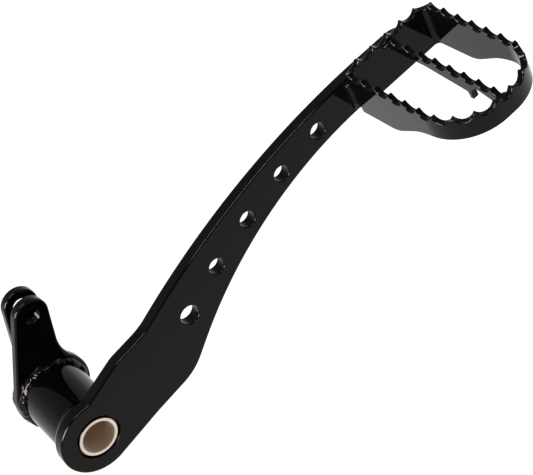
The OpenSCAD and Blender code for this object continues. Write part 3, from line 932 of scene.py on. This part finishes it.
def strip(bm, tread, stations, cuts, low_line, low_edge, closed):
    """Toothed strip along a middle line."""
    section = strip_section(tread.sizes.strip_t / 2, low_edge, tread.sizes.top_edge)
    rings = []
    for middle, normal in stations:
        ring = []
        for across, top, inset in section:
            place = middle + across * normal
            if top:
                z = tread.crest(place, cuts) - inset
            else:
                z = height_on(low_line, -place.y) + inset
            ring.append(bm.verts.new((place.x, place.y, z)))
        rings.append(ring)
    skin_along(bm, rings, closed)


class LEVER_OT_tread(bpy.types.Operator):
    """Build the bent strip of the tread with its round cut teeth and its rising lower edge"""
    bl_idname = "lever.tread"
    bl_label = "Tread strip"

    def execute(self, context):
        tread = Tread(settings().tread)
        bm = bmesh.new()
        strip(bm, tread, tread.middle_line(), tread.cuts(), tread.low_line, tread.sizes.low_edge,
              True)
        coated_piece(bm, "lever_tread_strip", "tread_ring")
        return {"FINISHED"}


class LEVER_OT_bar(bpy.types.Operator):
    """Build the toothed centre bar with its lip and neck"""
    bl_idname = "lever.bar"
    bl_label = "Centre bar"

    def execute(self, context):
        tread = Tread(settings().tread)
        sizes = tread.sizes
        level_out, edge_r = 28 * MM, 0.3 * MM
        neck_out, neck_z, neck_r = 56.3 * MM, 62.4 * MM, 4.5 * MM
        lip_z, lip_drop, lip_t = 56.3 * MM, 3.4 * MM, 1.5 * MM
        # The neck starts one step past the lip, because a lower edge has one height at each place
        step = 0.02 * MM
        lip_low = Vector((neck_out, lip_z - lip_drop))
        neck_end = Vector((tread.nose_in, BAR_NECK_END_Z))
        neck = corner(lip_low, Vector((neck_out, neck_z)), neck_end, neck_r)
        low_line = [Vector((sizes.strip_t, BAR_ROOT_Z)), Vector((level_out, BAR_ROOT_Z)),
                    Vector((neck_out - 1.5 * lip_t, lip_z)),
                    Vector((neck_out - lip_t, lip_z - lip_drop)), lip_low]
        low_line += [Vector((max(p.x, neck_out + step), p.y)) for p, _ in neck]
        low_line.append(neck_end)
        gaps = floor((tread.nose_in - BAR_FIRST_TOOTH) / sizes.bar_pitch) + 1
        cuts = [(Vector((tread.middle, -BAR_FIRST_TOOTH - (i + 0.5) * sizes.bar_pitch)),
                 Vector((1, 0))) for i in range(-1, gaps)]
        steps = ceil((tread.nose_in - sizes.strip_t) / STATION)
        outs = [sizes.strip_t + (tread.nose_in - sizes.strip_t) * i / steps
                for i in range(steps + 1)]
        outs = sorted(set(outs + [p.x for p in low_line if sizes.strip_t < p.x < tread.nose_in]))
        stations = [(Vector((tread.middle, -out)), Vector((1, 0))) for out in outs]
        bm = bmesh.new()
        strip(bm, tread, stations, cuts, low_line, edge_r, False)
        coated_piece(bm, "lever_tread_bar", "tread_center_bar")
        return {"FINISHED"}


# Welds


def bead(bm, path, base, legs, ripple, lumps, seed, closed=False):
    """Weld bead along a path of (corner, direction a, direction b), on a base inside the corner."""
    leg_a, leg_b = legs
    pitch, height = ripple
    # Lengths over which the toes, the ripples, the lumps and the small knobs wander
    toe_wave, ripple_wave, lump_wave, knob_wave = 5 * MM, 3.5 * MM, 5.5 * MM, 2.4 * MM
    # Fullness of the bead, sharpness, sag and unsteadiness of its ripples, and share of the knobs
    fullness, sharpness, sag, unsteady, knobs = 0.22, 1.6, 1.1, 0.35, 0.3
    # An open bead starts and ends thin, over this share of its leg
    end_share, end_size = 0.7, 0.05
    lengths = [0]
    for (a, _, _), (b, _, _) in zip(path, path[1:]):
        lengths.append(lengths[-1] + (b - a).length)
    total = lengths[-1]
    across = [i / BEAD_STEPS for i in range(BEAD_STEPS + 1)]
    rings = []
    for s, (corner_point, to_a, to_b) in zip(lengths, path[:-1] if closed else path):
        run_in = 1 if closed else min(1, min(s, total - s) / (end_share * leg_a))
        taper = end_size + (1 - end_size) * sqrt(max(0, 1 - (1 - run_in) ** 2))
        here = corner_point + seed * Vector((1, 1, 1))
        ring = []
        for t in across:
            wander = noise.noise(here / toe_wave + Vector((t, 0, 0)))
            crescent = s + pitch * sag * (t - 0.5) ** 2 * 4
            phase = crescent / pitch + unsteady * noise.noise(here / ripple_wave)
            wave = 1 - zigzag(phase) ** sharpness
            knob = noise.noise(here / knob_wave + Vector((0, 2 * t, 0)))
            lump = noise.noise(here / lump_wave) + knobs * knob
            bulge = (fullness + height * (wave - 0.5) + 0.5 * lumps * lump) * 4 * t * (1 - t)
            a = taper * leg_a * ((1 - t) * (1 + (0.1 + lumps) * wander) + bulge)
            b = taper * leg_b * (t * (1 + 0.1 * wander + lumps * lump) + bulge)
            ring.append(bm.verts.new(corner_point + a * to_a + b * to_b))
        for a, b in base:
            ring.append(bm.verts.new(corner_point + taper * (a * to_a + b * to_b)))
        rings.append(ring)
    skin_along(bm, rings, closed)


def ring_path(radius, y, dir_y, start, turn, centre=PIVOT):
    """Path of a bead about an axis along Y."""
    steps = ceil(abs(turn) * radius / BEAD_STATION)
    path = []
    for i in range(steps + 1):
        spoke = ray(start + turn * i / steps)
        out = Vector((spoke.x, 0, spoke.y))
        path.append((Vector((centre.x, y, centre.y)) + radius * out, out, Vector((0, dir_y, 0))))
    return path


def upright_path(x, y, low, high, to_a, to_b):
    """Path of a bead that runs straight up."""
    steps = ceil((high - low) / BEAD_STATION)
    return [(Vector((x, y, low + (high - low) * i / steps)), to_a, to_b) for i in range(steps + 1)]


class LEVER_OT_welds(bpy.types.Operator):
    """Build the weld beads of the tube, the clevis plates, the tread and the centre bar"""
    bl_idname = "lever.welds"
    bl_label = "Welds"

    def execute(self, context):
        pivot, clevis = settings().pivot, settings().clevis
        sunk = [(-SUNK, -SUNK)]
        bm = bmesh.new()
        bead(bm, ring_path(pivot.tube_r, ARM_HIGH.y, 1, 0, 2 * pi), sunk, closed=True, **TUBE_BEAD)
        coated_piece(bm, "lever_weld_tube", "weld_tube_arm")
        bm = bmesh.new()
        for y, dir_y, look in ((OUTER_LOW.y, -1, CLEVIS_BEAD), (OUTER_HIGH.y, 1, SLOT_BEAD)):
            bead(bm, ring_path(pivot.tube_r, y, dir_y, 0, 2 * pi), sunk, closed=True, **look)
        coated_piece(bm, "lever_weld_clevis_outer", "weld_clevis_outer")
        bm = bmesh.new()
        lobe_r = inner_lobe_r(pivot, clevis)
        blend_a = blend_angle(clevis.eye_r, lobe_r, clevis.inner_blend_r)
        start = atan2(PIN.z, PIN.x) + blend_a
        bead(bm, ring_path(lobe_r, TUBE_HIGH.y, 1, start, 2 * pi - 2 * blend_a), sunk,
             legs=(clevis.inner_weld, clevis.inner_weld), **TUBE_END_BEAD)
        coated_piece(bm, "lever_weld_clevis_inner", "weld_clevis_inner")
        self.tread_welds(Tread(settings().tread))
        return {"FINISHED"}

    def tread_welds(self, tread):
        """Beads of the tread on the arm and of the centre bar on the strip."""
        sizes = tread.sizes
        left, right = Vector((-1, 0, 0)), Vector((1, 0, 0))
        outboard, inboard = Vector((0, -1, 0)), Vector((0, 1, 0))
        inset, margin = 0.5 * MM, 1 * MM
        # The near bead fills the corner between the strip's bend and the arm
        deep = (sizes.corner_r + sizes.strip_t) / 2 - inset
        bm = bmesh.new()
        path = upright_path(tread.left + inset, 0, STRIP_LOW_Z + margin, ARM_HIGH.z - margin,
                            left, outboard)
        bead(bm, path, [(-deep, NEAR_BEAD["legs"][1]), (-deep, 0)], **NEAR_BEAD)
        coated_piece(bm, "lever_weld_tread_near", "weld_tread_near")
        bm = bmesh.new()
        centre = Vector((ARM_HIGH.x - ARM_END_R, ARM_HIGH.z - ARM_END_R))
        bead(bm, ring_path(ARM_END_R, 0, 1, 0, FAR_WELD_TURN, centre), [(-SUNK, 0)], **FAR_BEAD)
        coated_piece(bm, "lever_weld_tread_far", "weld_tread_far")
        valley_z = TIP_Z - sizes.cut_depth
        for name, node, y, toward, low in (
                ("lever_weld_bar_root", "weld_bar_root", -sizes.strip_t, outboard, BAR_ROOT_Z),
                ("lever_weld_bar_nose", "weld_bar_nose", -tread.nose_in, inboard, BAR_NECK_END_Z)):
            bm = bmesh.new()
            for side, out in ((-1, left), (1, right)):
                x = tread.middle + side * sizes.strip_t / 2
                bead(bm, upright_path(x, y, low, valley_z, out, toward), [(-SUNK, 0)],
                     seed=0.7 + side / 10, **BAR_BEAD)
            coated_piece(bm, name, node)


# Studio


def area_light(name, place, size, power):
    """Soft box that faces the lever, with its place and size in metres and its power in watts."""
    lamp = bpy.data.lights.new(name, "AREA")
    lamp.shape = "RECTANGLE"
    lamp.size, lamp.size_y = size
    lamp.energy = power
    light = bpy.data.objects.new(name, lamp)
    light.location = place
    light.rotation_euler = (LEVER_MIDDLE - Vector(place)).to_track_quat("-Z", "Y").to_euler()
    bpy.context.scene.collection.objects.link(light)
    light.light_linking.receiver_collection = lit_pieces()


class LEVER_OT_stage(bpy.types.Operator):
    """Set the plain pale floor, the soft light and the camera"""
    bl_idname = "lever.stage"
    bl_label = "Stage"

    def execute(self, context):
        studio = settings().studio
        scene = context.scene
        scene.view_settings.view_transform = "Standard"
        lens = bpy.data.cameras.new("camera")
        lens.sensor_width = SENSOR_WIDTH
        lens.sensor_fit = "HORIZONTAL"
        lens.lens = studio.lens
        camera = bpy.data.objects.new("camera", lens)
        camera.location = studio.place
        camera.rotation_euler = Euler(studio.turn)
        scene.collection.objects.link(camera)
        scene.camera = camera
        self.floor(-ARM_LOW.z + studio.floor_drop)
        area_light("key_box", place=(0, -0.4, 1.1), size=(0.7, 0.16), power=12)
        area_light("side_box", place=(-0.8, -0.3, 0.5), size=(0.9, 0.5), power=50)
        self.surroundings(scene)
        return {"FINISHED"}

    def floor(self, drop):
        """Pale matt paper, far wider than the lever."""
        middle_x, floor_r, sides = 0.1, 4, 96
        bm = bmesh.new()
        bmesh.ops.create_circle(bm, cap_ends=True, segments=sides, radius=floor_r)
        mesh = bpy.data.meshes.new("floor")
        bmesh.ops.translate(bm, verts=bm.verts, vec=(middle_x, 0, -drop))
        bm.to_mesh(mesh)
        bm.free()
        floor_piece = bpy.data.objects.new("floor", mesh)
        # Uncoated paper scatters all light, so the eye sees no glare, only faint clouds. Its own
        # glow stands for the even light of the tent, which leaves no shadow on it.
        cloud_size, glow = 40 * MM, 0.85
        material, tree, place = new_material("paper_white_matt")
        grain = noise_at(tree, place, cloud_size, 2)
        tone = add(tree, "ShaderNodeMix", {"A": linear("#f6f6f6"), "B": linear("#fbfbfb")}, None,
                   data_type="RGBA")
        tree.links.new(grain.outputs["Fac"], tone.inputs["Factor"])
        shader = add(tree, "ShaderNodeBsdfPrincipled",
                     {"Roughness": 0.9, "Emission Strength": glow},
                     {"Base Color": tone.outputs["Result"],
                      "Emission Color": tone.outputs["Result"]})
        add(tree, "ShaderNodeOutputMaterial", None, {"Surface": shader.outputs["BSDF"]})
        mesh.materials.append(material)
        bpy.context.scene.collection.objects.link(floor_piece)

    def surroundings(self, scene):
        """White tent, bright low down and dimmer overhead, that is open in front."""
        low_level, top_level, top_height = 0.9, 0.35, 0.7
        # The tent is open in front of the lever and a little to its left, and the room is dark
        to_opening = Vector((-0.15, -0.85, 0.5)).normalized()
        dark_from, dark_to, dark_level = 0.75, 0.92, 0.08
        world = bpy.data.worlds.new("tent")
        scene.world = world
        world.use_nodes = True
        tree = world.node_tree
        tree.nodes.clear()
        place = add(tree, "ShaderNodeTexCoord").outputs["Generated"]
        height = add(tree, "ShaderNodeSeparateXYZ", None, {"Vector": place}).outputs["Z"]
        level = add(tree, "ShaderNodeMapRange",
                    {"From Min": 0, "From Max": top_height,
                     "To Min": low_level, "To Max": top_level},
                    {"Value": height})
        front = add(tree, "ShaderNodeVectorMath", {1: to_opening}, {0: place},
                    operation="DOT_PRODUCT")
        flag = add(tree, "ShaderNodeMapRange",
                   {"From Min": dark_from, "From Max": dark_to, "To Min": 1, "To Max": dark_level},
                   {"Value": front.outputs["Value"]})
        strength = add(tree, "ShaderNodeMath", None,
                       {0: level.outputs["Result"], 1: flag.outputs["Result"]},
                       operation="MULTIPLY")
        light = add(tree, "ShaderNodeBackground", {"Color": linear("#ffffff")},
                    {"Strength": strength.outputs["Value"]})
        add(tree, "ShaderNodeOutputWorld", None, {"Surface": light.outputs["Background"]})


class LEVER_PT_panel(bpy.types.Panel):
    """Panel with the steps and the sizes of the lever"""
    bl_idname = "LEVER_PT_panel"
    bl_label = "Foot brake lever"
    bl_space_type = "VIEW_3D"
    bl_region_type = "UI"
    bl_category = "Lever"

    def draw(self, context):
        for operator in OPERATORS:
            self.layout.operator(operator.bl_idname)
        groups = context.scene.lever_settings
        for group in (groups.arm, groups.pivot, groups.clevis, groups.tread, groups.finish,
                      groups.studio):
            box = self.layout.box()
            for name in group.__annotations__:
                box.prop(group, name)


GROUPS = (ArmSettings, PivotSettings, ClevisSettings, TreadSettings, FinishSettings,
          StudioSettings, LeverSettings)
OPERATORS = (LEVER_OT_stage, LEVER_OT_arm, LEVER_OT_tube, LEVER_OT_bushings, LEVER_OT_clevis,
             LEVER_OT_tread, LEVER_OT_bar, LEVER_OT_welds)


def register():
    """Registers the classes and the settings."""
    for item in (*GROUPS, *OPERATORS, LEVER_PT_panel):
        bpy.utils.register_class(item)
    bpy.types.Scene.lever_settings = PointerProperty(type=LeverSettings)


def unregister():
    """Takes the settings and the classes away."""
    del bpy.types.Scene.lever_settings
    for item in reversed((*GROUPS, *OPERATORS, LEVER_PT_panel)):
        bpy.utils.unregister_class(item)


def main():
    register()
    bpy.ops.lever.stage()
    bpy.ops.lever.arm()
    bpy.ops.lever.tube()
    bpy.ops.lever.bushings()
    bpy.ops.lever.clevis()
    bpy.ops.lever.tread()
    bpy.ops.lever.bar()
    bpy.ops.lever.welds()


if __name__ == "__main__":
    main()
